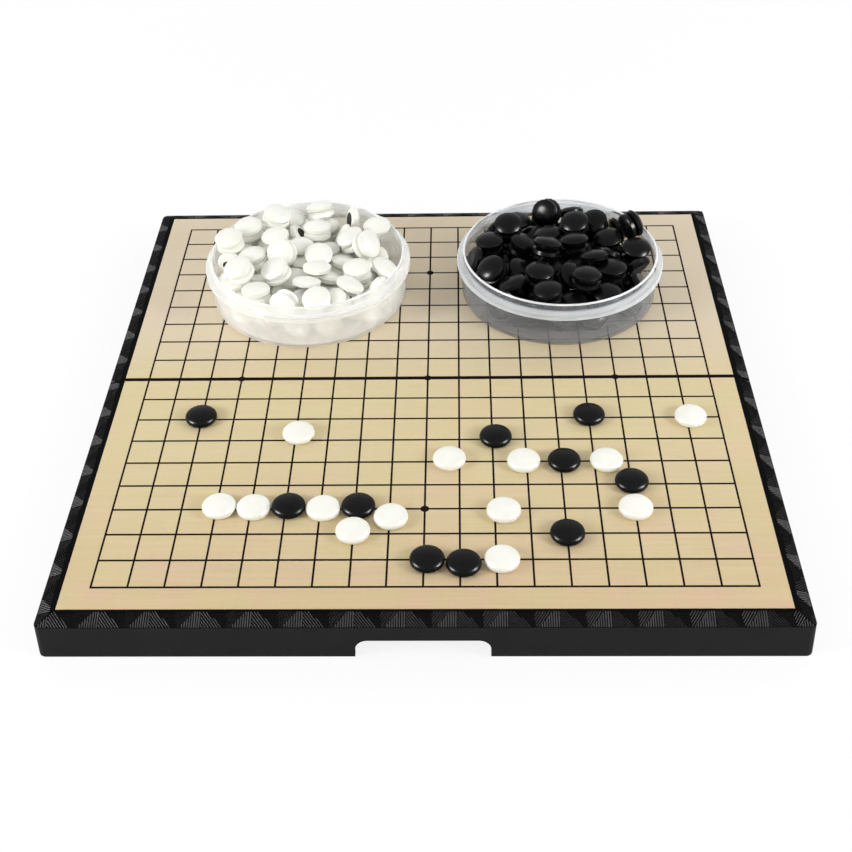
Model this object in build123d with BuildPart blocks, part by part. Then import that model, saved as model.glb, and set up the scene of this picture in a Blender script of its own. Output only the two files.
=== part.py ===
"""Magnetic folding go set: two tray halves joined by link hinges, two bowls and the stones.

Millimetres. The origin is on the resting surface under the middle of the fold, +X runs to the
right along the fold, +Y to the rear half with the bowls, +Z up.
"""
from build123d import *
import math
import os
import numpy as np

# Playing grid
cell = 18.0
line_count = 19
edge_margin = 14.0
fold_gap = 0.6

# Board panel and the steel sheet under it
panel_thickness = 1.2
sheet_thickness = 0.4
sheet_inset = 2.0
panel_clearance = 0.3

# Case halves
case_height = 23.0
border_width = 9.5
border_drop = 3.0
rim_flare = 1.0
wall = 2.4
deck = 2.2
case_corner_radius = 3.5
lip_corner_radius = 0.6
cavity_corner_radius = 4.0
rim_round = 0.8
rib_thickness = 1.4
rib_height = 2.5
rib_count = 3

# Finger notch in the outer wall of each half
notch_width = 65.5
notch_height = 15.0
notch_inner_height = 8.0
notch_corner_radius = 6.0

# Link hinges at the fold
hinge_spacing = 270.0
pivot_offset = 3.0
link_radius = 2.5
link_width = 8.0
lug_thickness = 3.0
lug_depth = 8.0
hinge_side_clearance = 0.3
fold_clearance = 0.15
pin_radius = 1.0
pin_running_clearance = 0.05
spine_wall = 2.0

# Closure magnets in the rims of the outer walls
closure_spacing = 240.0
closure_magnet_radius = 4.0
closure_magnet_height = 3.0
closure_boss_wall = 1.6
closure_recess = 0.2
magnet_clearance = 0.1

# Bowls
bowl_radius = 60.0
bowl_flare = 0.6
bowl_height = 30.0
bowl_wall = 1.5
bowl_edge_radius = 3.0
neck_step = 0.5
neck_height = 5.3
neck_wall = 1.2
mouth_round = 0.45
flange_reach = 3.1
flange_thickness = 3.6
ridge_count = 3
ridge_depth = 0.35
ridge_groove = 0.5
white_bowl_place = (-4.16, 4.89)
black_bowl_place = (4.47, 4.93)

# Stones: a flat base with a magnet in it, a rounded edge and a low dome
stone_radius = 8.85
stone_height = 5.9
stone_edge_radius = 2.4
stone_magnet_radius = 5.0
stone_magnet_height = 1.6
stone_magnet_recess = 0.15

# Places of the stones in play, in grid lines counted from the front left corner
black_moves = [
    (2.0, 7.0), (11.1, 6.0), (14.0, 7.0), (13.1, 4.9), (15.0, 4.0),
    (5.1, 3.0), (7.1, 3.0), (13.0, 1.9), (9.1, 0.9), (10.1, 0.75),
]
white_moves = [
    (17.1, 6.9), (5.1, 6.2), (9.7, 5.0), (11.9, 4.9), (14.35, 4.9), (3.1, 3.0), (4.1, 2.95),
    (6.1, 2.9), (8.05, 2.55), (7.0, 2.0), (11.25, 2.8), (15.0, 2.9), (11.15, 0.9),
]

# Heaps of spare stones in the bowls: how many, how high the middle is piled, how the stones lean
white_spare_count = 126
black_spare_count = 125
heap_gap = 0.22
heap_step = 0.5
heap_tries = 300
lean_tries = 4
white_heap_slope = 0.06
black_heap_slope = 0.11
pair_share = 0.45
pair_seam = 0.3
steep_share = 0.3
turned_share = 0.5
flat_lean = 38.0
steep_lean_low = 45.0
steep_lean_high = 88.0

# Worked out from the driving sizes
half_grid = cell * (line_count - 1) / 2
panel_half_width = half_grid + edge_margin
panel_near = fold_gap / 2
panel_far = panel_near + half_grid + edge_margin
lip_half_width = panel_half_width + panel_clearance
lip_far = panel_far + panel_clearance
case_half_width = panel_half_width + border_width
case_far = panel_far + border_width
shoulder = case_height - border_drop
pocket_depth = panel_thickness + sheet_thickness
pocket_floor = case_height - pocket_depth
deck_under = pocket_floor - deck
middle_line = (line_count - 1) / 2


def half_outline(half_width, near, far, corner):
    """Plan of one half: sharp at the fold, rounded at its two outer corners."""
    with BuildSketch(mode=Mode.PRIVATE) as outline:
        with Locations((0, -(near + far) / 2)):
            Rectangle(2 * half_width, far - near)
        fillet(outline.vertices().group_by(Axis.Y)[0], corner)
    return outline.sketch


# Front case: tray with its open side down, a sloping border and a pocket for the panel
with BuildPart() as front_case:
    with BuildSketch():
        add(half_outline(case_half_width + rim_flare, panel_near, case_far + rim_flare, case_corner_radius))
    with BuildSketch(Plane.XY.offset(shoulder)):
        add(half_outline(case_half_width, panel_near, case_far, case_corner_radius))
    loft()
    with BuildSketch(Plane.XY.offset(shoulder)):
        add(half_outline(case_half_width, panel_near, case_far, case_corner_radius))
    with BuildSketch(Plane.XY.offset(case_height)):
        add(half_outline(lip_half_width, panel_near, lip_far, lip_corner_radius))
    loft()
    outer_rim = front_case.edges().group_by(Axis.Z)[0].sort_by(Axis.Y)[:-1]
    fillet(outer_rim, rim_round)

    # Cavity under the deck, and the pocket on top of it
    cavity_half_width = case_half_width - wall
    cavity_near = panel_near + spine_wall
    cavity_far = case_far - wall
    with BuildSketch():
        with Locations((0, -(cavity_near + cavity_far) / 2)):
            RectangleRounded(2 * cavity_half_width, cavity_far - cavity_near, cavity_corner_radius)
    extrude(amount=deck_under, mode=Mode.SUBTRACT)
    with BuildSketch(Plane.XY.offset(pocket_floor)):
        with Locations((0, -lip_far / 2)):
            Rectangle(2 * lip_half_width, lip_far)
    extrude(amount=pocket_depth, mode=Mode.SUBTRACT)

    # Stiffening ribs under the deck
    with BuildSketch(Plane.XY.offset(deck_under)):
        rib_pitch = 2 * cavity_half_width / (rib_count + 1)
        with Locations((0, -(cavity_near + cavity_far) / 2)):
            with GridLocations(rib_pitch, 0, rib_count, 1):
                Rectangle(rib_thickness, cavity_far - cavity_near)
    extrude(amount=-rib_height)

    # Bosses of the closure magnets, standing against the outer wall
    boss_radius = closure_magnet_radius + magnet_clearance + closure_boss_wall
    closure_y = -(cavity_far - boss_radius + closure_boss_wall)
    closure_places = [(side * closure_spacing / 2, closure_y) for side in (-1, 1)]
    with BuildSketch():
        with Locations(*closure_places):
            Circle(boss_radius)
    extrude(amount=deck_under)
    with BuildSketch():
        with Locations(*closure_places):
            Circle(closure_magnet_radius + magnet_clearance)
    extrude(amount=closure_magnet_height + closure_recess, mode=Mode.SUBTRACT)

    # Hinge lugs behind the spine wall
    lug_offset = link_width / 2 + hinge_side_clearance + lug_thickness / 2
    lug_bottom = pivot_offset - link_radius
    lug_far = panel_near + lug_depth
    lug_y = -(cavity_near + lug_far) / 2
    hinge_places = [side * hinge_spacing / 2 for side in (-1, 1)]
    lug_places = [(x + side * lug_offset, lug_y) for x in hinge_places for side in (-1, 1)]
    with BuildSketch(Plane.XY.offset(lug_bottom)):
        with Locations(*lug_places):
            Rectangle(lug_thickness, lug_far - cavity_near)
    extrude(amount=deck_under - lug_bottom)

    # Slots that let the links swing through the spine wall
    slot_top = pivot_offset + link_radius + hinge_side_clearance
    with BuildSketch():
        with Locations(*[(x, -(panel_near + cavity_near) / 2) for x in hinge_places]):
            Rectangle(link_width + 2 * hinge_side_clearance, cavity_near - panel_near)
    extrude(amount=slot_top, mode=Mode.SUBTRACT)

    # The lower edge of the spine is round about the pivot, so the halves roll past each other
    with BuildSketch(Plane.YZ.offset(-case_half_width - 2 * rim_flare)):
        with Locations((-pivot_offset / 2, pivot_offset / 2)):
            Rectangle(pivot_offset, pivot_offset)
        with Locations((-pivot_offset, pivot_offset)):
            Circle(pivot_offset - fold_clearance, mode=Mode.SUBTRACT)
    extrude(amount=2 * (case_half_width + 2 * rim_flare), mode=Mode.SUBTRACT)

    # Pin holes through the lugs
    pin_length = link_width + 2 * hinge_side_clearance + 2 * lug_thickness
    for x in hinge_places:
        with BuildSketch(Plane.YZ.offset(x - pin_length / 2)):
            with Locations((-pivot_offset, pivot_offset)):
                Circle(pin_radius)
        extrude(amount=pin_length, mode=Mode.SUBTRACT)

    # Finger notch, scooped so that its inner edge is lower than its outer edge
    notch_profiles = [
        (case_far + 2 * rim_flare, notch_height),
        (cavity_far, notch_inner_height),
    ]
    for depth, height in notch_profiles:
        with BuildSketch(Plane.XZ.offset(depth)):
            Rectangle(notch_width, 2 * height)
            fillet(vertices(), min(notch_corner_radius, height - rim_round))
    loft(mode=Mode.SUBTRACT)
front_case.part.label = "front_case"

with BuildPart() as rear_case:
    mirror(front_case.part, about=Plane.XZ)
rear_case.part.label = "rear_case"

# Steel sheet that the stone magnets hold on to, lying in the pocket
with BuildPart() as front_steel_sheet:
    with BuildSketch(Plane.XY.offset(pocket_floor)):
        with Locations((0, -(panel_near + panel_far) / 2)):
            Rectangle(2 * (panel_half_width - sheet_inset), panel_far - panel_near - 2 * sheet_inset)
    extrude(amount=sheet_thickness)
front_steel_sheet.part.label = "front_steel_sheet"

with BuildPart() as rear_steel_sheet:
    mirror(front_steel_sheet.part, about=Plane.XZ)
rear_steel_sheet.part.label = "rear_steel_sheet"

# Board panel: rebated underneath for the steel sheet, flush with the top of the border
with BuildPart() as front_board_panel:
    with BuildSketch(Plane.XY.offset(pocket_floor)):
        with Locations((0, -(panel_near + panel_far) / 2)):
            Rectangle(2 * panel_half_width, panel_far - panel_near)
    extrude(amount=pocket_depth)
    with BuildSketch(Plane.XY.offset(pocket_floor)):
        with Locations((0, -(panel_near + panel_far) / 2)):
            Rectangle(2 * (panel_half_width - sheet_inset), panel_far - panel_near - 2 * sheet_inset)
    extrude(amount=sheet_thickness, mode=Mode.SUBTRACT)
front_board_panel.part.label = "front_board_panel"

with BuildPart() as rear_board_panel:
    mirror(front_board_panel.part, about=Plane.XZ)
rear_board_panel.part.label = "rear_board_panel"

# Hinge pins, pressed into the lugs
with BuildPart() as front_hinge_pins:
    for x in hinge_places:
        with BuildSketch(Plane.YZ.offset(x - pin_length / 2)):
            with Locations((-pivot_offset, pivot_offset)):
                Circle(pin_radius)
        extrude(amount=pin_length)
front_hinge_pins.part.label = "front_hinge_pins"

with BuildPart() as rear_hinge_pins:
    mirror(front_hinge_pins.part, about=Plane.XZ)
rear_hinge_pins.part.label = "rear_hinge_pins"


def hinge_link(x):
    """Link of one hinge: it turns on the pin of each half."""
    with BuildPart() as link:
        with BuildSketch(Plane.YZ.offset(x - link_width / 2)):
            with Locations((0, pivot_offset)):
                SlotCenterToCenter(2 * pivot_offset, 2 * link_radius)
                with GridLocations(2 * pivot_offset, 0, 2, 1):
                    Circle(pin_radius + pin_running_clearance, mode=Mode.SUBTRACT)
        extrude(amount=link_width)
    return link.part


left_hinge_link = hinge_link(hinge_places[0])
left_hinge_link.label = "left_hinge_link"
right_hinge_link = hinge_link(hinge_places[1])
right_hinge_link.label = "right_hinge_link"

# Closure magnets, set back a little from the rim
with BuildPart() as front_closure_magnets:
    with BuildSketch(Plane.XY.offset(closure_recess)):
        with Locations(*closure_places):
            Circle(closure_magnet_radius)
    extrude(amount=closure_magnet_height)
front_closure_magnets.part.label = "front_closure_magnets"

with BuildPart() as rear_closure_magnets:
    mirror(front_closure_magnets.part, about=Plane.XZ)
rear_closure_magnets.part.label = "rear_closure_magnets"

# Bowl: rounded foot, body, a ridged flange and a neck for the lid
inner_floor = bowl_wall
neck_radius = bowl_radius - neck_step
flange_radius = bowl_radius + flange_reach
flange_top = bowl_height - neck_height
flange_bottom = flange_top - flange_thickness
inner_body_radius = bowl_radius - bowl_wall
inner_neck_radius = neck_radius - neck_wall
inner_shoulder = flange_bottom + bowl_wall
inner_edge_radius = bowl_edge_radius - bowl_wall
heap_radius = min(inner_body_radius, inner_neck_radius)

with BuildPart() as bowl:
    with BuildSketch(Plane.XZ):
        with BuildLine():
            Polyline(
                (0, 0), (bowl_radius, 0), (bowl_radius + bowl_flare, flange_bottom),
                (flange_radius, flange_bottom), (flange_radius, flange_top), (neck_radius, flange_top),
                (neck_radius, bowl_height), (inner_neck_radius, bowl_height),
                (inner_neck_radius, inner_shoulder), (inner_body_radius, inner_shoulder),
                (inner_body_radius, inner_floor), (0, inner_floor), close=True,
            )
        make_face()
        foot = vertices().group_by(Axis.Y)[0].sort_by(Axis.X)[-1]
        foot_inside = vertices().group_by(Axis.Y)[1].sort_by(Axis.X)[-1]
        mouth = vertices().group_by(Axis.Y)[-1]
        fillet(foot, bowl_edge_radius)
        fillet(foot_inside, inner_edge_radius)
        fillet(mouth, mouth_round)
        ridge_pitch = flange_thickness / ridge_count
        for ridge in range(1, ridge_count):
            with Locations((flange_radius, flange_bottom + ridge * ridge_pitch)):
                Rectangle(2 * ridge_depth, ridge_groove, mode=Mode.SUBTRACT)
    revolve(axis=Axis.Z)

# One stone with the magnet in its base. The dome and the edge are arcs that meet smoothly
edge_center = stone_radius - stone_edge_radius
dome_rise = stone_height - 2 * stone_edge_radius
dome_center = (
    (stone_height - stone_edge_radius) ** 2 - edge_center ** 2 - stone_edge_radius ** 2
) / (2 * dome_rise)
dome_radius = stone_height - dome_center
edge_angle = math.atan2(stone_edge_radius - dome_center, edge_center)
dome_end = (dome_radius * math.cos(edge_angle), dome_center + dome_radius * math.sin(edge_angle))

with BuildPart() as stone:
    with BuildSketch(Plane.XZ):
        with BuildLine():
            Line((0, 0), (edge_center, 0))
            CenterArc(
                (edge_center, stone_edge_radius), stone_edge_radius,
                -90, 90 + math.degrees(edge_angle),
            )
            CenterArc(
                (0, dome_center), dome_radius,
                math.degrees(edge_angle), 90 - math.degrees(edge_angle),
            )
            Line((0, stone_height), (0, 0))
        make_face()
    revolve(axis=Axis.Z)
    with BuildSketch():
        Circle(stone_magnet_radius + magnet_clearance)
    extrude(amount=stone_magnet_recess + stone_magnet_height, mode=Mode.SUBTRACT)

with BuildPart() as stone_magnet:
    with BuildSketch(Plane.XY.offset(stone_magnet_recess)):
        Circle(stone_magnet_radius)
    extrude(amount=stone_magnet_height)


def turned_axis(tilt, heading):
    """Direction of a stone's axis that leans by tilt towards heading."""
    return (
        math.sin(tilt) * math.cos(heading),
        math.sin(tilt) * math.sin(heading),
        math.cos(tilt),
    )


def edge_sphere(angle):
    """Height and radius of the sphere about the stone's axis that touches its edge at an angle."""
    radius = stone_edge_radius + edge_center / math.cos(angle)
    return stone_edge_radius - edge_center * math.tan(angle), radius


def stone_heights(axis, paired, reach_x, reach_y):
    """Lowest and highest point of a leaning stone, or base-to-base pair, over each plan point."""
    ax, ay, az = axis
    along = ax * reach_x + ay * reach_y
    low = np.full(reach_x.shape, -np.inf)
    high = np.full(reach_x.shape, np.inf)

    def keep(near, far, inside):
        return (
            np.where(inside, np.maximum(low, near), np.inf),
            np.where(inside, np.minimum(high, far), -np.inf),
        )

    # Spheres that hold the stone: its dome, the shoulder of its edge and the foot of its edge
    spheres = [(dome_center, dome_radius), edge_sphere(edge_angle / 2)]
    if paired:
        spheres = [(side * (rise + pair_seam / 2), radius) for rise, radius in spheres for side in (1, -1)]
    else:
        spheres.append(edge_sphere(-math.pi / 4))
    for rise, radius in spheres:
        over = (reach_x - ax * rise) ** 2 + (reach_y - ay * rise) ** 2
        half = np.sqrt(np.maximum((radius + heap_gap) ** 2 - over, 0))
        low, high = keep(az * rise - half, az * rise + half, over < (radius + heap_gap) ** 2)
    # The flat base of a single stone
    if not paired:
        base = (-heap_gap - along) / az
        everywhere = np.full(reach_x.shape, True)
        if az > 0:
            low, high = keep(base, np.inf, everywhere)
        else:
            low, high = keep(-np.inf, base, everywhere)
    # The upright ray leaves the cylinder around the edge at the roots of a quadratic
    square = max(1 - az * az, 1e-9)
    linear = -az * along
    rest = reach_x ** 2 + reach_y ** 2 - along ** 2 - (stone_radius + heap_gap) ** 2
    root = linear ** 2 - square * rest
    spread = np.sqrt(np.maximum(root, 0))
    low, high = keep((-linear - spread) / square, (-linear + spread) / square, root > 0)
    covered = high > low
    return np.where(covered, low, np.inf), np.where(covered, high, -np.inf)


def heap(count, slope):
    """Places of count stones poured one after another into a bowl, as (origin, axis) pairs."""
    draw = np.random.default_rng(count)
    reach = math.ceil((stone_radius + stone_height) / heap_step)
    offsets = np.arange(-reach, reach + 1) * heap_step
    window_x, window_y = np.meshgrid(offsets, offsets, indexing="ij")
    size = math.ceil(heap_radius / heap_step) + reach
    plan = np.arange(-size, size + 1) * heap_step
    plan_x, plan_y = np.meshgrid(plan, plan, indexing="ij")
    surface = np.where(np.hypot(plan_x, plan_y) < heap_radius, inner_floor, np.inf)
    places = []
    while len(places) < count:
        paired = draw.random() < pair_share and count - len(places) > 1
        best = None
        for _ in range(lean_tries):
            steep = draw.random() < steep_share
            lean = draw.uniform(steep_lean_low, steep_lean_high) if steep else draw.uniform(0, flat_lean)
            if steep and not paired and draw.random() < turned_share:
                lean = 180 - lean
            axis = turned_axis(math.radians(lean), draw.uniform(0, 2 * math.pi))
            low, high = stone_heights(axis, paired, window_x, window_y)
            middle = 0 if paired else axis[2] * stone_height / 2
            for _ in range(heap_tries):
                radius = heap_radius * math.sqrt(draw.random())
                heading = draw.uniform(0, 2 * math.pi)
                i = size + round(radius * math.cos(heading) / heap_step)
                j = size + round(radius * math.sin(heading) / heap_step)
                below = surface[i - reach:i + reach + 1, j - reach:j + reach + 1]
                with np.errstate(invalid="ignore"):
                    height = np.max(np.where(np.isfinite(low), below - low, -np.inf))
                cost = height + middle + slope * radius
                if best is None or cost < best[0]:
                    best = (cost, height, i, j, axis, high)
        _, height, i, j, axis, high = best
        below = surface[i - reach:i + reach + 1, j - reach:j + reach + 1]
        surface[i - reach:i + reach + 1, j - reach:j + reach + 1] = np.maximum(below, height + high)
        origin = Vector(plan[i], plan[j], height)
        direction = Vector(*axis)
        if paired:
            places.append((origin + direction * (pair_seam / 2), direction))
            places.append((origin - direction * (pair_seam / 2), -direction))
        else:
            places.append((origin, direction))
    return places


def group_of(piece, label, places, corner):
    """Copies of one piece standing at the heap's places, as one group of separate solids."""
    solids = []
    for origin, direction in places:
        plane = Plane(origin=origin + corner, z_dir=direction)
        solids.append(plane.location * piece.solid())
    group = Compound(solids)
    group.label = label
    return group


os.makedirs("parts", exist_ok=True)

pieces = [
    front_case.part, rear_case.part, front_steel_sheet.part, rear_steel_sheet.part,
    front_board_panel.part, rear_board_panel.part, front_hinge_pins.part, rear_hinge_pins.part,
    left_hinge_link, right_hinge_link, front_closure_magnets.part, rear_closure_magnets.part,
]

bowls = [
    ("white", white_bowl_place, white_spare_count, white_heap_slope),
    ("black", black_bowl_place, black_spare_count, black_heap_slope),
]
for colour, (column, row), spare, slope in bowls:
    corner = Vector(column * cell, row * cell, case_height)
    standing = Location(corner) * bowl.part
    standing.label = colour + "_bowl"
    places = heap(spare, slope)
    pieces.append(standing)
    pieces.append(group_of(stone.part, colour + "_spare_stones", places, corner))
    pieces.append(group_of(stone_magnet.part, colour + "_spare_magnets", places, corner))

for colour, moves in (("black", black_moves), ("white", white_moves)):
    for number, (column, row) in enumerate(moves, start=1):
        x = (column - middle_line) * cell
        y = (row - middle_line) * cell - fold_gap / 2
        place = Location((x, y, case_height))
        set_stone = Compound([place * stone.part.solid(), place * stone_magnet.part.solid()])
        set_stone.label = f"{colour}_stone_{number:02d}"
        pieces.append(set_stone)

for piece in pieces:
    export_step(piece, f"parts/{piece.label}.step")
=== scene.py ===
"""Magnetic folding go set, dressed for the camera. Metres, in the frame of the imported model."""
import math

import bmesh
import bpy
from mathutils import Matrix, Vector


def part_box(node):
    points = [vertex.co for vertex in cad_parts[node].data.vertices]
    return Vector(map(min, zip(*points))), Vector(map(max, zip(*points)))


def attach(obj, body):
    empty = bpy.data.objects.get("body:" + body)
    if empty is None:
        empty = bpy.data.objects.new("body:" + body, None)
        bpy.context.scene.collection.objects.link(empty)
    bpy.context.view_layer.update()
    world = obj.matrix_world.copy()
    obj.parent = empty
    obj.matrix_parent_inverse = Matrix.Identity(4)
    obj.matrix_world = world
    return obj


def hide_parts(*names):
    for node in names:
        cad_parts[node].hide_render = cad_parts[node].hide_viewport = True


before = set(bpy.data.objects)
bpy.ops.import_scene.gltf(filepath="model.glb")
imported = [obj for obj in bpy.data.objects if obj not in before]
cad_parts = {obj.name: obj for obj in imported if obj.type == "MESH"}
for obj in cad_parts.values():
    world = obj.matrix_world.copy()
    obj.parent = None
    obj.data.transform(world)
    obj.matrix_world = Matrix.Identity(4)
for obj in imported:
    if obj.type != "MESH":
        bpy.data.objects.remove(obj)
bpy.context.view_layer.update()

MM = 0.001

# Points of a mesh closer than this, in metres, are one point: in turned pieces and in CAD nodes
WELD = 1e-6
CAD_WELD = 2e-6

# Board
CELL = 18.0 * MM
EDGE_MARGIN = 14.0 * MM
FOLD_GAP = 0.6 * MM
BOARD_TOP = 23.0 * MM
BORDER_WIDTH = 9.5 * MM
BORDER_DROP = 3.0 * MM
PANEL_CLEARANCE = 0.3 * MM
HALF_GRID = 9 * CELL
PANEL_HALF = HALF_GRID + EDGE_MARGIN
PANEL_FAR = FOLD_GAP / 2 + PANEL_HALF
CASE_HALF = PANEL_HALF + BORDER_WIDTH
CASE_FAR = PANEL_FAR + BORDER_WIDTH
NOTCH_HALF = 33.0 * MM
NOTCH_HEIGHT = 14.9 * MM
NOTCH_DEPTH = 3.0 * MM
RIM_FLARE = 1.0 * MM
BORDER_TONE_START = 0.05 * MM
# How far in from the wall's outer face the painted shade on the notch's cut faces begins
NOTCH_SHADE_START = 0.12 * MM

# Printed grid
LINE_HALF = 0.54 * MM
ROW_LINE_HALF = 0.64 * MM
FOLD_LINE = 1.15 * MM
STAR_RADIUS = 2.3 * MM
STAR_CELLS = 6

# Stones
STONE_RADIUS = 8.85 * MM
STONE_HEIGHT = 5.9 * MM
STONE_EDGE = 2.4 * MM
MAGNET_RADIUS = 5.0 * MM
MAGNET_HEIGHT = 1.6 * MM
MAGNET_RECESS = 0.15 * MM
MAGNET_SHOW = 0.05 * MM
STONE_STEPS = 44
SPARE_STONE_STEPS = 16
SET_STONES = {"black": 10, "white": 13}

# Bowls
BOWL_RADIUS = 60.0 * MM
BOWL_FLARE = 0.6 * MM
BOWL_HEIGHT = 30.0 * MM
BOWL_WALL = 1.5 * MM
BOWL_FOOT_ROUND = 3.0 * MM
NECK_STEP = 0.5 * MM
NECK_HEIGHT = 5.3 * MM
NECK_WALL = 1.2 * MM
MOUTH_ROUND = 0.45 * MM
FLANGE_REACH = 3.1 * MM
FLANGE_THICKNESS = 3.6 * MM
RIDGE_COUNT = 3
RIDGE_DEPTH = 0.35 * MM
RIDGE_GROOVE = 0.5 * MM
GROOVE_ROUND = 0.1 * MM
SMALL_ROUND = 0.25 * MM
CORNER_STEPS = 4
BOWL_STEPS = 96

# Frosted plastic: how high its parts reach, and what each adds to how milky it is
LIP_HIGHLIGHT_HEIGHT = 0.9 * MM
FOOT_MARGIN = 0.1 * MM
EDGE_ON_MILK = 0.25
# Denser milk on the lip, part of its painted highlight
LIP_HIGHLIGHT_MILK = 0.7
FOOT_MILK = 0.15
LIGHT_THROUGH_WALL = 0.85

# Hatching on the border: a repeat of four fields that runs round the board
TILE = 24.4 * MM
HATCH_PITCH = 1.15 * MM
HATCH_HALF = 0.3 * MM
HATCH_HEIGHT = 0.2 * MM
FRONT_HATCH_MARGIN = 1.2 * MM
SIDE_HATCH_MARGIN = 2.8 * MM
CORNER_MARGIN = 0.5 * MM
RIDGE_SIDES = 8
FIRST_RIDGE = 0.6
RIDGE_REACH = 1.0
PARALLEL = 1e-9

# Where the repeat starts on the front or rear run, and on the two side runs
FRONT_HATCH_START = -7.9 * MM
DOWN_HATCH_START = 177.2 * MM
UP_HATCH_START = -164.0 * MM

# Fields of a repeat in millimetres along the border: outer edge from and to, inner edge from and
# to, the way of the hatching in degrees from the run of the border, and which painted-sheen grey
# its ridges have
HATCH_FIELDS = [
    (-10.15, 0.0, -3.2, 0.0, 90.0, 2),
    (0.0, 10.8, 0.0, 3.2, 127.5, 1),
    (10.8, 12.7, 3.2, 11.7, 0.0, 0),
    (12.7, 14.25, 11.7, 21.2, 56.9, 0),
]
# Painted sheen: all ridges are the same black plastic, and these greys stand in for how brightly
# each way of hatching catches the lamps
HATCH_SHEEN_GREYS = [14, 36, 70]

# Light level: the surroundings' share, and the lamps of the right side, as name, place in metres,
# size in metres, watts, and whether the lamp makes the highlights alone
WORLD_FILL = 0.5
LAMPS = [
    ("lamp", (0.9, -0.42, 0.5), 0.3, 5.2, False),
    ("gleam", (0.9, -0.36, 0.5), 0.4, 42.0, True),
    ("back_lamp", (0.5, 0.5, 0.5), 0.4, 1.0, False),
]

# Floor: half its side and its depth under the board, then how white it is near the board and
# between which squares of the distance from the middle it turns fully white
FLOOR_HALF = 4.0
FLOOR_DEPTH = 0.2 * MM
FLOOR_WHITE = 0.85
FLOOR_FADE = (0.12, 0.6)

# Camera of the photograph: lens and sensor in millimetres, place in metres, angles in degrees
LENS = 54.9
SENSOR = 36.0
NEAR_CLIP = 0.01
FAR_CLIP = 20.0
CAMERA_PLACE = (17.4 * MM, -588.8 * MM, 491.0 * MM)
CAMERA_PITCH = 40.585
CAMERA_YAW = -1.865
CAMERA_ROLL = -1.52


class Number:
    """A number that varies over a surface: arithmetic on it adds Math nodes."""

    def __init__(self, graph, socket):
        self.graph = graph
        self.socket = socket

    def __add__(self, other):
        return self.graph.math("ADD", self, other)

    def __radd__(self, other):
        return self.graph.math("ADD", other, self)

    def __sub__(self, other):
        return self.graph.math("SUBTRACT", self, other)

    def __rsub__(self, other):
        return self.graph.math("SUBTRACT", other, self)

    def __mul__(self, other):
        return self.graph.math("MULTIPLY", self, other)

    def __rmul__(self, other):
        return self.graph.math("MULTIPLY", other, self)

    def __truediv__(self, other):
        return self.graph.math("DIVIDE", self, other)

    def __rtruediv__(self, other):
        return self.graph.math("DIVIDE", other, self)

    def __abs__(self):
        return self.graph.math("ABSOLUTE", self)

    def __lt__(self, other):
        return self.graph.math("LESS_THAN", self, other)

    def __gt__(self, other):
        return self.graph.math("GREATER_THAN", self, other)

    def lower(self, other):
        return self.graph.math("MINIMUM", self, other)

    def higher(self, other):
        return self.graph.math("MAXIMUM", self, other)

    def floor(self):
        return self.graph.math("FLOOR", self)

    def fraction(self):
        return self.graph.math("FRACT", self)


class Graph:
    """The nodes of a material or of the world."""

    def __init__(self, tree):
        self.tree = tree

    def node(self, kind, settings=None, values=None):
        """Adds a node, sets it up, then sets or links its sockets."""
        made = self.tree.nodes.new(kind)
        for key, value in (settings or {}).items():
            setattr(made, key, value)
        for key, value in (values or {}).items():
            self.feed(made.inputs[key], value)
        return made

    def feed(self, socket, value):
        if isinstance(value, Number):
            value = value.socket
        if isinstance(value, bpy.types.NodeSocket):
            self.tree.links.new(value, socket)
        else:
            socket.default_value = value

    def math(self, operation, *values):
        made = self.node("ShaderNodeMath", {"operation": operation}, dict(enumerate(values)))
        return Number(self, made.outputs[0])

    def background_rays(self):
        """1 for the rays that see the white surroundings: camera, glossy and transmission rays."""
        path = self.node("ShaderNodeLightPath")
        camera, glossy, through = (
            Number(self, path.outputs[name])
            for name in ("Is Camera Ray", "Is Glossy Ray", "Is Transmission Ray")
        )
        return camera.higher(glossy).higher(through)


class Finish(Graph):
    """A material: one shader, with steady values on its sockets and nodes on the ones that vary."""

    def __init__(self, name, **steady):
        self.material = bpy.data.materials.new(name)
        self.material.use_nodes = True
        super().__init__(self.material.node_tree)
        self.shader = self.tree.nodes["Principled BSDF"]
        for socket, value in steady.items():
            self.shader.inputs[socket.replace("_", " ")].default_value = value
        self.place = self.node("ShaderNodeTexCoord").outputs["Object"]

    def axes(self):
        """The three object coordinates of the surface."""
        split = self.node("ShaderNodeSeparateXYZ", None, {0: self.place})
        return [Number(self, output) for output in split.outputs]

    def stretched(self, scale):
        """Object coordinates, scaled axis by axis."""
        made = self.node("ShaderNodeMapping", None, {"Vector": self.place, "Scale": scale})
        return made.outputs[0]

    def noise(self, scale, detail=2.0, roughness=0.5, where=None, distortion=0.0):
        made = self.node("ShaderNodeTexNoise", None, {
            "Vector": where or self.place, "Scale": scale, "Detail": detail,
            "Roughness": roughness, "Distortion": distortion,
        })
        return Number(self, made.outputs[0])

    def random_of(self, *numbers):
        """A steady random number for each combination of whole numbers."""
        joined = self.node("ShaderNodeCombineXYZ", None, dict(enumerate(numbers)))
        made = self.node("ShaderNodeTexWhiteNoise", None, {"Vector": joined.outputs[0]})
        return Number(self, made.outputs["Value"])

    def remap(self, value, low, high, new_low=0.0, new_high=1.0):
        made = self.node("ShaderNodeMapRange", None, {
            "Value": value, "From Min": low, "From Max": high,
            "To Min": new_low, "To Max": new_high,
        })
        return Number(self, made.outputs[0])

    def blend(self, factor, first, second):
        """A colour between the first, at a factor of 0, and the second, at 1."""
        made = self.node("ShaderNodeMix", {"data_type": "RGBA"}, {0: factor, 6: first, 7: second})
        return made.outputs[2]

    def vary(self, socket, value):
        self.feed(self.shader.inputs[socket], value)

    def bump(self, height, distance, strength=1.0):
        made = self.node("ShaderNodeBump", None, {
            "Height": height, "Distance": distance, "Strength": strength,
        })
        self.vary("Normal", made.outputs[0])


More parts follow.
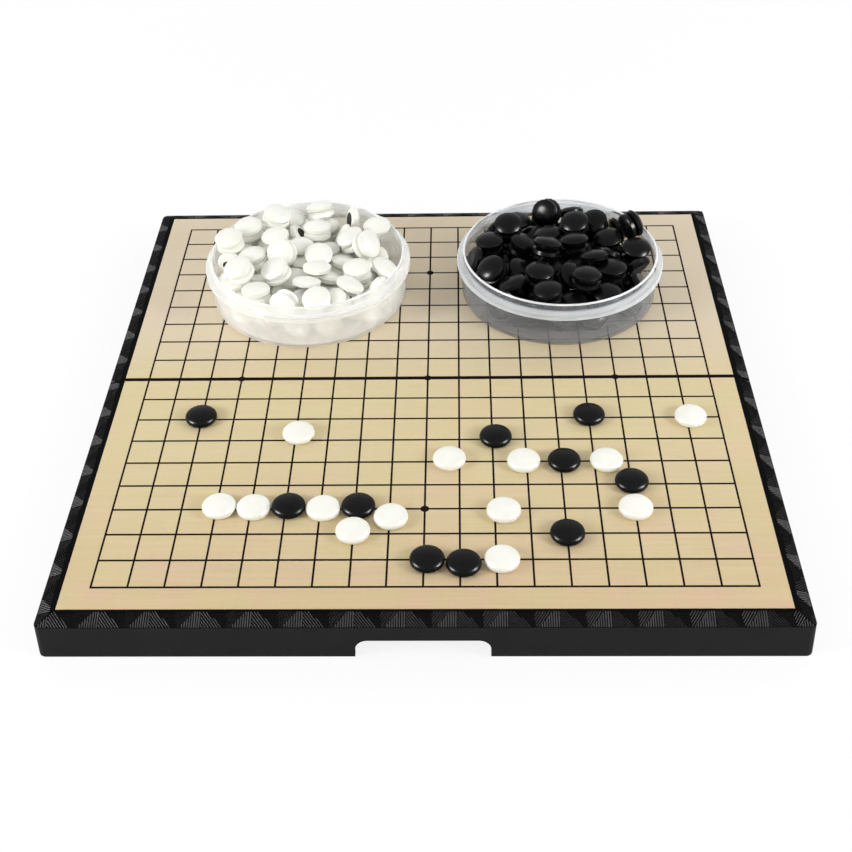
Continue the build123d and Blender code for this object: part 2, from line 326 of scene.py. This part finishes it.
def shade(red, green, blue):
    """A colour given as the eye sees it, 0 to 255, in the linear values of the shader."""
    return tuple(((c / 255 + 0.055) / 1.055) ** 2.4 if c > 10 else c / 255 / 12.92
                 for c in (red, green, blue)) + (1.0,)


def printed_wood():
    """Printed board panel: pale wood grain with tints, grid lines and star points."""
    finish = Finish("printed_wood", Specular_IOR_Level=0.0, Coat_Roughness=0.45)
    x, y = finish.axes()[:2]
    side = abs(x)
    away = abs(y) - FOLD_GAP / 2
    column = x / CELL
    row = away / CELL
    in_width = side < HALF_GRID + LINE_HALF
    on_grid = in_width * (away < HALF_GRID + ROW_LINE_HALF)
    near_column = abs((column + 0.5).fraction() - 0.5) < LINE_HALF / CELL
    near_row = abs((row + 0.5).fraction() - 0.5) < ROW_LINE_HALF / CELL
    star_x = side.lower(abs(side - STAR_CELLS * CELL))
    star_y = abs(y).lower(abs(away - STAR_CELLS * CELL))
    star = star_x * star_x + star_y * star_y < STAR_RADIUS ** 2
    ink = (near_column.higher(near_row) * on_grid).higher(away < FOLD_LINE).higher(star)

    grain = finish.noise(1.0, 5.0, 0.6, finish.stretched((18, 420, 40)), 0.6)
    streak = finish.noise(1.0, 3.0, 0.55, finish.stretched((6, 70, 10)), 1.2)
    across = finish.noise(1.0, 4.0, 0.6, finish.stretched((260, 14, 20)), 1.6)
    patch = finish.noise(38.0, 2.0)
    warm = finish.noise(55.0, 2.0, 0.5, finish.stretched((1, 1.7, 1)))
    cell_tint = finish.random_of(column.floor(), row.floor(), (y > 0) * 7)
    inside = (side < HALF_GRID) * (away < HALF_GRID)
    yellow, pink = shade(212, 195, 149), shade(219, 189, 158)
    tone = finish.blend(finish.remap(patch, 0.35, 0.65), yellow, pink)
    tone = finish.blend(finish.remap(warm, 0.4, 0.62, 0.0, 0.6), tone, shade(211, 195, 148))
    cells = finish.blend(cell_tint, shade(219, 204, 158), shade(215, 194, 164))
    tone = finish.blend(inside * 0.4, tone, cells)
    # Each tint as what varies, from and to which value it grows, its most, and its colour: three
    # kinds of grain, the paler middle of the board and the greyer rear half
    tints = [
        (grain, 0.35, 0.75, 0.3, shade(194, 167, 125)),
        (streak, 0.45, 0.8, 0.28, shade(200, 170, 132)),
        (across, 0.4, 0.75, 0.12, shade(196, 174, 140)),
        (y, -0.15, -0.05, 0.45, shade(223, 211, 166)),
        (y, -0.01, 0.06, 0.55, shade(224, 210, 196)),
    ]
    for value, low, high, most, colour in tints:
        tone = finish.blend(finish.remap(value, low, high, 0.0, most), tone, colour)
    finish.vary("Base Color", finish.blend(ink, tone, shade(28, 18, 17)))
    finish.vary("Coat Weight", 0.4 - ink * 0.32)
    finish.vary("Roughness", finish.remap(grain, 0.3, 0.7, 0.42, 0.55) - ink * 0.06)
    finish.bump(grain, 0.03 * MM, 0.3)
    return finish.material


def moulded_black():
    """Black moulded plastic of the case: satin, faintly mottled, darker on the border, with painted
    shade on the cut faces of the notch.
    """
    finish = Finish("moulded_black", Specular_IOR_Level=0.0, Coat_Roughness=0.3)
    x, y, z = finish.axes()
    border = z > BOARD_TOP - BORDER_DROP + BORDER_TONE_START
    wall_face = CASE_FAR + RIM_FLARE - z * (RIM_FLARE / (BOARD_TOP - BORDER_DROP))
    away = abs(y)
    in_wall = (away > CASE_FAR - NOTCH_DEPTH) * (away < wall_face - NOTCH_SHADE_START)
    # Painted shade: the cut faces inside the notch get a near-black colour and less coat, standing
    # in for the shade they lie in
    notch_painted_shade = (abs(x) < NOTCH_HALF) * (z < NOTCH_HEIGHT) * in_wall
    border_tone_and_notch_shade = border.higher(notch_painted_shade)
    cloud = finish.noise(60.0, 3.0)
    fine = finish.noise(1400.0, 3.0, 0.6)
    mottle = finish.remap(cloud, 0.3, 0.7)
    wall = finish.blend(mottle, shade(20, 20, 22), shade(25, 25, 27))
    # The border's own darker tone, and the painted shade of the notch
    finish.vary("Base Color", finish.blend(border_tone_and_notch_shade, wall, shade(8, 8, 9)))
    finish.vary("Coat Weight", 0.26 - border_tone_and_notch_shade * 0.21)
    finish.vary("Roughness", finish.remap(cloud, 0.3, 0.7, 0.38, 0.46))
    finish.bump(fine, 0.02 * MM, 0.3)
    return finish.material


def hatched_black_painted_sheen(name, sheen_grey):
    """The same plastic on the ridges of one field of the border; their grey is a painted sheen, set
    by the way the ridges run, for how they catch the light.
    """
    finish = Finish(name, Specular_IOR_Level=0.05)
    cloud = finish.noise(300.0, 3.0)
    darker, lighter = (shade(sheen_grey * part, sheen_grey * part, sheen_grey * part + 1.5) for part in (0.8, 1.2))
    finish.vary("Base Color", finish.blend(cloud, darker, lighter))
    finish.vary("Roughness", finish.remap(cloud, 0.3, 0.7, 0.22, 0.32))
    return finish.material


def stone_white():
    """Ivory white stones with the faintest mottle."""
    finish = Finish("stone_white", Specular_IOR_Level=0.4)
    cloud = finish.noise(120.0, 3.0)
    mottle = finish.remap(cloud, 0.3, 0.7)
    finish.vary("Base Color", finish.blend(mottle, shade(250, 250, 243), shade(246, 246, 236)))
    finish.vary("Roughness", finish.remap(cloud, 0.3, 0.7, 0.28, 0.38))
    finish.bump(finish.noise(500.0, 2.0), 0.02 * MM, 0.25)
    return finish.material


def stone_black():
    """Glossy black stones."""
    finish = Finish("stone_black", Specular_IOR_Level=0.11)
    cloud = finish.noise(150.0, 3.0)
    finish.vary("Base Color", finish.blend(cloud, shade(5, 5, 6), shade(10, 10, 11)))
    finish.vary("Roughness", finish.remap(cloud, 0.3, 0.7, 0.25, 0.3))
    finish.bump(finish.noise(700.0, 2.0), 0.015 * MM, 0.25)
    return finish.material


def ferrite():
    """Dark grey magnet material with a fine sintered grain."""
    finish = Finish("ferrite", Specular_IOR_Level=0.3)
    speck = finish.noise(1500.0, 4.0, 0.7)
    finish.vary("Base Color", finish.blend(speck, shade(14, 14, 15), shade(38, 37, 36)))
    finish.vary("Roughness", finish.remap(speck, 0.3, 0.7, 0.5, 0.7))
    finish.bump(speck, 0.03 * MM, 0.6)
    return finish.material


def bright_steel():
    """Rolled steel: brushed along X."""
    finish = Finish("bright_steel", Metallic=1.0)
    brushed = finish.noise(1.0, 3.0, 0.6, finish.stretched((40, 3000, 3000)))
    finish.vary("Base Color", finish.blend(brushed, shade(150, 150, 152), shade(190, 190, 192)))
    finish.vary("Roughness", finish.remap(brushed, 0.3, 0.7, 0.22, 0.38))
    finish.bump(brushed, 0.01 * MM, 0.4)
    return finish.material


def nylon_black():
    """Black nylon of the hinge links."""
    finish = Finish("nylon_black", Specular_IOR_Level=0.3)
    speck = finish.noise(900.0, 3.0)
    finish.vary("Base Color", finish.blend(speck, shade(24, 24, 26), shade(34, 34, 36)))
    finish.vary("Roughness", finish.remap(speck, 0.3, 0.7, 0.42, 0.55))
    finish.bump(speck, 0.02 * MM, 0.4)
    return finish.material


def frosted(name, wall_tones, flange_tone, milk_low, milk_high, flange_milk):
    """Frosted clear plastic of a bowl: thin milky skin, denser at flange, foot and edge-on, and a
    painted highlight on the lip: near-white and denser.
    """
    finish = Finish(name, Specular_IOR_Level=0.4)
    z = finish.axes()[2]
    flange_top = BOARD_TOP + BOWL_HEIGHT - NECK_HEIGHT
    flange_bottom = flange_top - FLANGE_THICKNESS
    flange = (z > flange_bottom - SMALL_ROUND) * (z < flange_top + SMALL_ROUND)
    # Painted highlight: the top band of the lip is near-white and denser whatever the light
    lip_painted_highlight = z > BOARD_TOP + BOWL_HEIGHT - LIP_HIGHLIGHT_HEIGHT
    cloud = finish.noise(70.0, 3.0)
    fine = finish.noise(900.0, 2.0)
    weight = finish.node("ShaderNodeLayerWeight", None, {"Blend": 0.35})
    edge_on = Number(finish, weight.outputs["Facing"])
    milk = finish.remap(cloud, 0.3, 0.7, milk_low, milk_high) + edge_on * EDGE_ON_MILK
    foot = z < BOARD_TOP + BOWL_WALL + FOOT_MARGIN
    shadow = Number(finish, finish.node("ShaderNodeLightPath").outputs["Is Shadow Ray"])
    milk = milk + flange * flange_milk + lip_painted_highlight * LIP_HIGHLIGHT_MILK + foot * FOOT_MILK
    finish.vary("Alpha", milk * (1 - shadow * LIGHT_THROUGH_WALL))
    wall = finish.blend(cloud, *wall_tones)
    # The flange's own paler tone, and the painted highlight of the lip
    flange_and_lip_highlight = finish.blend(lip_painted_highlight, flange_tone, shade(248, 249, 251))
    finish.vary("Base Color", finish.blend(flange.higher(lip_painted_highlight), wall, flange_and_lip_highlight))
    finish.vary("Roughness", finish.remap(cloud, 0.3, 0.7, 0.2, 0.3))
    finish.bump(fine, 0.02 * MM, 0.2)
    return finish.material


def piece_from(name, fill, materials, body, replaced=()):
    """A new piece from a bmesh that fill shapes; it rides on a body and may replace CAD nodes."""
    shape = bmesh.new()
    fill(shape)
    mesh = bpy.data.meshes.new(name)
    shape.to_mesh(mesh)
    shape.free()
    for material in materials:
        mesh.materials.append(material)
    piece = bpy.data.objects.new(name, mesh)
    bpy.context.scene.collection.objects.link(piece)
    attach(piece, body)
    if replaced:
        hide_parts(*replaced)
    return piece


def sharpen(shape, angle):
    """Smooth faces, with the edges sharp where two of them meet at more than angle degrees."""
    limit = math.radians(angle)
    for face in shape.faces:
        face.smooth = True
    for edge in shape.edges:
        edge.smooth = len(edge.link_faces) == 2 and edge.calc_face_angle(0.0) < limit


def arc(center, radius, start, end, steps):
    """Points of an arc, as (radius, height) pairs, angles in degrees."""
    turns = [math.radians(start + (end - start) * step / steps) for step in range(steps + 1)]
    return [(center[0] + radius * math.cos(a), center[1] + radius * math.sin(a)) for a in turns]


def turned(shape, outline, steps):
    """Turns an outline of (radius, height) points about Z."""
    points = [shape.verts.new((radius, 0, height)) for radius, height in outline]
    edges = [shape.edges.new(pair) for pair in zip(points, points[1:])]
    bmesh.ops.spin(shape, geom=points + edges, cent=(0, 0, 0), axis=(0, 0, 1),
                   angle=2 * math.pi, steps=steps, use_merge=True)
    bmesh.ops.remove_doubles(shape, verts=shape.verts, dist=WELD)
    bmesh.ops.recalc_face_normals(shape, faces=shape.faces)


def stone_outline(edge_steps, dome_steps):
    """Half section of a stone from the rim of its flat base to its top."""
    edge_center = STONE_RADIUS - STONE_EDGE
    rise = STONE_HEIGHT - STONE_EDGE
    dome_center = ((rise ** 2 - edge_center ** 2 - STONE_EDGE ** 2)
                   / (2 * (STONE_HEIGHT - 2 * STONE_EDGE)))
    dome_radius = STONE_HEIGHT - dome_center
    turn = math.degrees(math.atan2(STONE_EDGE - dome_center, edge_center))
    return (arc((edge_center, STONE_EDGE), STONE_EDGE, -90, turn, edge_steps)
            + arc((0, dome_center), dome_radius, turn, 90, dome_steps)[1:])


def stone_shape(center):
    """Fills a bmesh with one stone and its magnet, standing at center."""
    def fill(shape):
        base = [(0.0, MAGNET_RECESS), (MAGNET_RADIUS, MAGNET_RECESS), (MAGNET_RADIUS, 0.0)]
        turned(shape, base + stone_outline(edge_steps=7, dome_steps=9), STONE_STEPS)
        sharpen(shape, angle=40)
        for face in shape.faces:
            middle = face.calc_center_median()
            reach = math.hypot(middle.x, middle.y)
            if middle.z < MAGNET_RECESS * 1.01 and reach < MAGNET_RADIUS * 0.98:
                face.material_index = 1
        bmesh.ops.translate(shape, verts=shape.verts, vec=center)
    return fill


def solids_of(node):
    """The separate closed shells of a CAD node, as lists of faces of one merged bmesh."""
    shape = bmesh.new()
    shape.from_mesh(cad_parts[node].data)
    bmesh.ops.remove_doubles(shape, verts=shape.verts, dist=CAD_WELD)
    shells, seen = [], set()
    for first in shape.faces:
        if first in seen:
            continue
        seen.add(first)
        shell = [first]
        for face in shell:
            for edge in face.edges:
                fresh = [other for other in edge.link_faces if other not in seen]
                seen.update(fresh)
                shell += fresh
        shells.append(shell)
    return shape, shells


def spare_places(node):
    """Where each spare stone of a heap stands: matrices measured on the CAD node's solids."""
    shape, shells = solids_of(node)
    places = []
    for shell in shells:
        # The largest face of a stone lies in its flat base
        up = -max(shell, key=lambda face: face.calc_area()).normal
        turn = up.to_track_quat("Z", "Y").to_matrix()
        back = turn.transposed()
        verts = {vert for face in shell for vert in face.verts}
        corners = [back @ vert.co for vert in verts]
        low, high = (Vector(pick(corner[axis] for corner in corners) for axis in range(3))
                     for pick in (min, max))
        # A shell much narrower than a stone isn't one
        if high.x - low.x < STONE_RADIUS:
            continue
        middle = Vector(((low.x + high.x) / 2, (low.y + high.y) / 2, low.z))
        places.append(Matrix.Translation(turn @ middle) @ turn.to_4x4())
    shape.free()
    return places


def heap_of(outline, steps, places):
    """Fills a bmesh with one turned shape at every place."""
    def fill(shape):
        pattern = bmesh.new()
        turned(pattern, outline, steps)
        # The rings of a flat face become one face
        flat = [face for face in pattern.faces if abs(face.normal.z) > 0.9999]
        bmesh.ops.dissolve_faces(pattern, faces=flat)
        sharpen(pattern, angle=50)
        mesh = bpy.data.meshes.new("pattern")
        pattern.to_mesh(mesh)
        pattern.free()
        for place in places:
            known = len(shape.verts)
            shape.from_mesh(mesh)
            shape.verts.ensure_lookup_table()
            bmesh.ops.transform(shape, matrix=place, verts=shape.verts[known:])
        bpy.data.meshes.remove(mesh)
    return fill


def rounded(corners):
    """An outline from (radius, height, round) corners, each corner an arc of its own radius."""
    outline = []
    for number, (x, y, radius) in enumerate(corners):
        here = Vector((x, y))
        if radius == 0:
            outline.append((x, y))
            continue
        before = (Vector(corners[number - 1][:2]) - here).normalized()
        after = (Vector(corners[number + 1][:2]) - here).normalized()
        half = before.angle(after) / 2
        center = here + (before + after).normalized() * radius / math.sin(half)
        start = here + before * radius / math.tan(half) - center
        end = here + after * radius / math.tan(half) - center
        for step in range(CORNER_STEPS + 1):
            ray = start.slerp(end, step / CORNER_STEPS).normalized()
            outline.append(tuple(center + ray * radius))
    return outline


def bowl_shape(center):
    """Fills a bmesh with an open bowl that has a ridged flange and a neck."""
    flange_top = BOWL_HEIGHT - NECK_HEIGHT
    flange_bottom = flange_top - FLANGE_THICKNESS
    flange_radius = BOWL_RADIUS + FLANGE_REACH
    neck_radius = BOWL_RADIUS - NECK_STEP
    inner_radius = BOWL_RADIUS - BOWL_WALL
    inner_neck = neck_radius - NECK_WALL
    inner_shoulder = flange_bottom + BOWL_WALL
    grooves = []
    for ridge in range(1, RIDGE_COUNT):
        low = flange_bottom + ridge * FLANGE_THICKNESS / RIDGE_COUNT - RIDGE_GROOVE / 2
        high = low + RIDGE_GROOVE
        grooves += [
            (flange_radius, low, GROOVE_ROUND), (flange_radius - RIDGE_DEPTH, low, 0),
            (flange_radius - RIDGE_DEPTH, high, 0), (flange_radius, high, GROOVE_ROUND),
        ]
    corners = [
        (0, 0, 0), (BOWL_RADIUS, 0, BOWL_FOOT_ROUND),
        (BOWL_RADIUS + BOWL_FLARE, flange_bottom, SMALL_ROUND),
        (flange_radius, flange_bottom, SMALL_ROUND),
        *grooves,
        (flange_radius, flange_top, SMALL_ROUND), (neck_radius, flange_top, SMALL_ROUND),
        (neck_radius, BOWL_HEIGHT, MOUTH_ROUND), (inner_neck, BOWL_HEIGHT, MOUTH_ROUND),
        (inner_neck, inner_shoulder, 0), (inner_radius, inner_shoulder, 0),
        (inner_radius, BOWL_WALL, BOWL_FOOT_ROUND - BOWL_WALL), (0, BOWL_WALL, 0),
    ]

    def fill(shape):
        turned(shape, rounded(corners), BOWL_STEPS)
        sharpen(shape, angle=40)
        bmesh.ops.translate(shape, verts=shape.verts, vec=center)
    return fill


class BorderRun:
    """One straight run of the border: points on its slope are (along, up the slope) pairs."""

    slope = math.atan2(BORDER_DROP, BORDER_WIDTH - PANEL_CLEARANCE)
    width = math.hypot(BORDER_DROP, BORDER_WIDTH - PANEL_CLEARANCE)

    def __init__(self, along, edge, ends, start, margin):
        self.along = Vector(along)
        outward = Vector((self.along.y, -self.along.x, 0))
        self.climb = Vector((0, 0, math.sin(self.slope))) - outward * math.cos(self.slope)
        self.normal = outward * math.sin(self.slope) + Vector((0, 0, math.cos(self.slope)))
        self.origin = outward * edge + Vector((0, 0, BOARD_TOP - BORDER_DROP))
        self.ends = ends
        self.start = start
        self.inner = self.width - margin

    def bounds_of(self, corners):
        """Half-planes, as (inward normal, offset), that hold a field within the run."""
        planes = []
        for start, end in zip(corners, corners[1:] + corners[:1]):
            side = (end - start).normalized()
            normal = Vector((-side.y, side.x))
            planes.append((normal, normal.dot(start)))
        for end, sign in zip(self.ends, (1, -1)):
            # An end far from the fold is a mitred corner, and one at the fold is cut square
            mitred = abs(end) > CELL
            normal = Vector((sign, -math.cos(self.slope) if mitred else 0.0)).normalized()
            planes.append((normal, normal.dot(Vector((end + sign * CORNER_MARGIN, 0)))))
        return planes

    def ridges_of(self, corners, angle):
        """End points of the ridges that fill a field."""
        planes = self.bounds_of(corners)
        way = Vector((math.cos(math.radians(angle)), math.sin(math.radians(angle))))
        across = Vector((-way.y, way.x))
        reach = [across.dot(corner) for corner in corners]
        for step in range(int((max(reach) - min(reach)) / HATCH_PITCH)):
            point = across * (min(reach) + (step + FIRST_RIDGE) * HATCH_PITCH)
            low, high = -RIDGE_REACH, RIDGE_REACH
            for normal, offset in planes:
                pace = normal.dot(way)
                gap = offset - normal.dot(point)
                if pace > PARALLEL:
                    low = max(low, gap / pace)
                elif pace < -PARALLEL:
                    high = min(high, gap / pace)
                elif gap > 0:
                    high = low
            if high - low > HATCH_PITCH:
                yield point + way * low, point + way * high

    def carve(self, shape, first, last, sheen_grey):
        """One ridge: a flattened rod, half sunk in the slope."""
        tips = [self.origin + self.along * tip.x + self.climb * tip.y for tip in (first, last)]
        way = tips[1] - tips[0]
        across = way.normalized().cross(self.normal)
        turn = Matrix((across * HATCH_HALF, self.normal * HATCH_HEIGHT, way)).transposed().to_4x4()
        place = Matrix.Translation((tips[0] + tips[1]) / 2) @ turn
        rod = bmesh.ops.create_cone(shape, cap_ends=True, segments=RIDGE_SIDES, radius1=1,
                                    radius2=1, depth=1, matrix=place)
        # Painted sheen: the ridge takes the grey of its field
        for face in {face for vert in rod["verts"] for face in vert.link_faces}:
            face.material_index = sheen_grey

    def fill(self, shape):
        """Every ridge of the run, field by field."""
        first = math.floor((self.ends[0] - self.start) / TILE) - 1
        last = math.ceil((self.ends[1] - self.start) / TILE) + 1
        for number in range(first, last):
            shift = self.start + number * TILE
            for out_low, out_high, in_low, in_high, angle, sheen_grey in HATCH_FIELDS:
                corners = [
                    Vector((shift + out_low * MM, CORNER_MARGIN)),
                    Vector((shift + out_high * MM, CORNER_MARGIN)),
                    Vector((shift + in_high * MM, self.inner)),
                    Vector((shift + in_low * MM, self.inner)),
                ]
                for ridge in self.ridges_of(corners, angle):
                    self.carve(shape, *ridge, sheen_grey)


def border_relief(half):
    """Fills a bmesh with the hatching of one half: -1 front, 1 rear. The runs go anticlockwise."""
    near, far = FOLD_GAP / 2, CASE_FAR
    down, up = ((near, far), (-far, -near)) if half < 0 else ((-far, -near), (near, far))
    runs = [
        BorderRun((-half, 0, 0), CASE_FAR, (-CASE_HALF, CASE_HALF), FRONT_HATCH_START,
                  FRONT_HATCH_MARGIN),
        BorderRun((0, -1, 0), CASE_HALF, down, DOWN_HATCH_START, SIDE_HATCH_MARGIN),
        BorderRun((0, 1, 0), CASE_HALF, up, UP_HATCH_START, SIDE_HATCH_MARGIN),
    ]

    def fill(shape):
        for run in runs:
            run.fill(shape)
        bmesh.ops.recalc_face_normals(shape, faces=shape.faces)
        sharpen(shape, angle=60)
    return fill


def dress(node, material):
    """Gives a CAD node its material."""
    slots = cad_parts[node].data.materials
    slots.clear()
    slots.append(material)


def camera():
    """The camera at the photograph's place and angle."""
    data = bpy.data.cameras.new("camera")
    data.lens = LENS
    data.sensor_width = SENSOR
    data.clip_start = NEAR_CLIP
    data.clip_end = FAR_CLIP
    made = bpy.data.objects.new("camera", data)
    bpy.context.scene.collection.objects.link(made)
    pitch, yaw, roll = (math.radians(a) for a in (CAMERA_PITCH, CAMERA_YAW, CAMERA_ROLL))
    forward = Vector((math.sin(yaw) * math.cos(pitch), math.cos(yaw) * math.cos(pitch),
                      -math.sin(pitch)))
    right = Vector((math.cos(yaw), -math.sin(yaw), 0))
    up = right.cross(forward)
    level = math.cos(roll) * right + math.sin(roll) * up
    upright = -math.sin(roll) * right + math.cos(roll) * up
    turn = Matrix((level, upright, -forward)).transposed().to_4x4()
    made.matrix_world = Matrix.Translation(CAMERA_PLACE) @ turn
    bpy.context.scene.camera = made


def lamp(name, place, size, power, gleam):
    """A soft square lamp that points at the fold: for the plain light, or the highlights alone."""
    data = bpy.data.lights.new(name, "AREA")
    data.size = size
    data.energy = power
    made = bpy.data.objects.new(name, data)
    bpy.context.scene.collection.objects.link(made)
    made.visible_diffuse = not gleam
    made.visible_glossy = gleam
    turn = (-Vector(place)).to_track_quat("-Z", "Y").to_matrix().to_4x4()
    made.matrix_world = Matrix.Translation(place) @ turn


def studio():
    """White floor and surroundings, and soft lamps at both sides, before and behind the board."""
    shape = bmesh.new()
    bmesh.ops.create_grid(shape, x_segments=1, y_segments=1, size=FLOOR_HALF)
    bmesh.ops.translate(shape, verts=shape.verts, vec=(0, 0, -FLOOR_DEPTH))
    mesh = bpy.data.meshes.new("floor")
    shape.to_mesh(mesh)
    shape.free()
    floor = bpy.data.objects.new("floor", mesh)
    bpy.context.scene.collection.objects.link(floor)
    ground = Finish("floor_white", Roughness=0.9, Base_Color=shade(250, 250, 250))
    x, y = ground.axes()[:2]
    white_share = ground.remap(x * x + y * y, *FLOOR_FADE, FLOOR_WHITE, 1.0)
    glow = ground.node("ShaderNodeEmission")
    mixed = ground.node("ShaderNodeMixShader", None, {
        0: ground.background_rays() * white_share, 1: ground.shader.outputs[0], 2: glow.outputs[0],
    })
    ground.feed(ground.tree.nodes["Material Output"].inputs["Surface"], mixed.outputs[0])
    mesh.materials.append(ground.material)

    world = bpy.data.worlds.new("studio")
    bpy.context.scene.world = world
    world.use_nodes = True
    sky = Graph(world.node_tree)
    back = world.node_tree.nodes["Background"]
    sky.feed(back.inputs["Color"], (1, 1, 1, 1))
    sky.feed(back.inputs["Strength"], sky.background_rays() * (1.0 - WORLD_FILL) + WORLD_FILL)
    for side_name, side in (("left", -1), ("right", 1)):
        for name, (across, back, height), size, power, gleam in LAMPS:
            lamp(f"{side_name}_{name}", (side * across, back, height), size, power, gleam)


wood = printed_wood()
plastic = moulded_black()
steel = bright_steel()
nylon = nylon_black()
magnet = ferrite()
milky = {
    "white": frosted("frosted_white", (shade(250, 250, 247), shade(254, 254, 252)),
                     shade(246, 246, 243), 0.36, 0.47, 0.24),
    "black": frosted("frosted_grey", (shade(160, 164, 171), shade(174, 178, 185)),
                     shade(236, 239, 242), 0.14, 0.18, 0.33),
}
# Ridge materials, one for each painted-sheen grey
ridges = [hatched_black_painted_sheen(f"hatched_black_painted_sheen_{sheen_grey}", sheen_grey) for sheen_grey in HATCH_SHEEN_GREYS]
stone_finish = {"white": stone_white(), "black": stone_black()}

for half, side in (("front", -1), ("rear", 1)):
    dress(half + "_case", plastic)
    dress(half + "_board_panel", wood)
    dress(half + "_steel_sheet", steel)
    dress(half + "_hinge_pins", steel)
    dress(half + "_closure_magnets", magnet)
    piece_from(half + "_border_relief", border_relief(side), ridges, half + "_half")
dress("left_hinge_link", nylon)
dress("right_hinge_link", nylon)

for colour, count in SET_STONES.items():
    for number in range(1, count + 1):
        node = f"{colour}_stone_{number:02d}"
        low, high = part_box(node)
        place = ((low.x + high.x) / 2, (low.y + high.y) / 2, low.z)
        piece_from(node + "_turned", stone_shape(place), [stone_finish[colour], magnet],
                   "set_" + node, [node])

spare_shell = [(0.0, 0.0)] + stone_outline(edge_steps=3, dome_steps=2)
spare_disc = [(0.0, -MAGNET_SHOW), (MAGNET_RADIUS, -MAGNET_SHOW),
              (MAGNET_RADIUS, MAGNET_HEIGHT), (0.0, MAGNET_HEIGHT)]
for colour in SET_STONES:
    body = colour + "_bowl_full"
    places = spare_places(colour + "_spare_stones")
    piece_from(colour + "_heap", heap_of(spare_shell, SPARE_STONE_STEPS, places),
               [stone_finish[colour]], body, [colour + "_spare_stones"])
    piece_from(colour + "_heap_magnets", heap_of(spare_disc, SPARE_STONE_STEPS, places), [magnet],
               body, [colour + "_spare_magnets"])
    low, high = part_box(colour + "_bowl")
    place = ((low.x + high.x) / 2, (low.y + high.y) / 2, low.z)
    piece_from(colour + "_bowl_turned", bowl_shape(place), [milky[colour]], body,
               [colour + "_bowl"])

camera()
studio()
bpy.context.scene.view_settings.view_transform = "Standard"
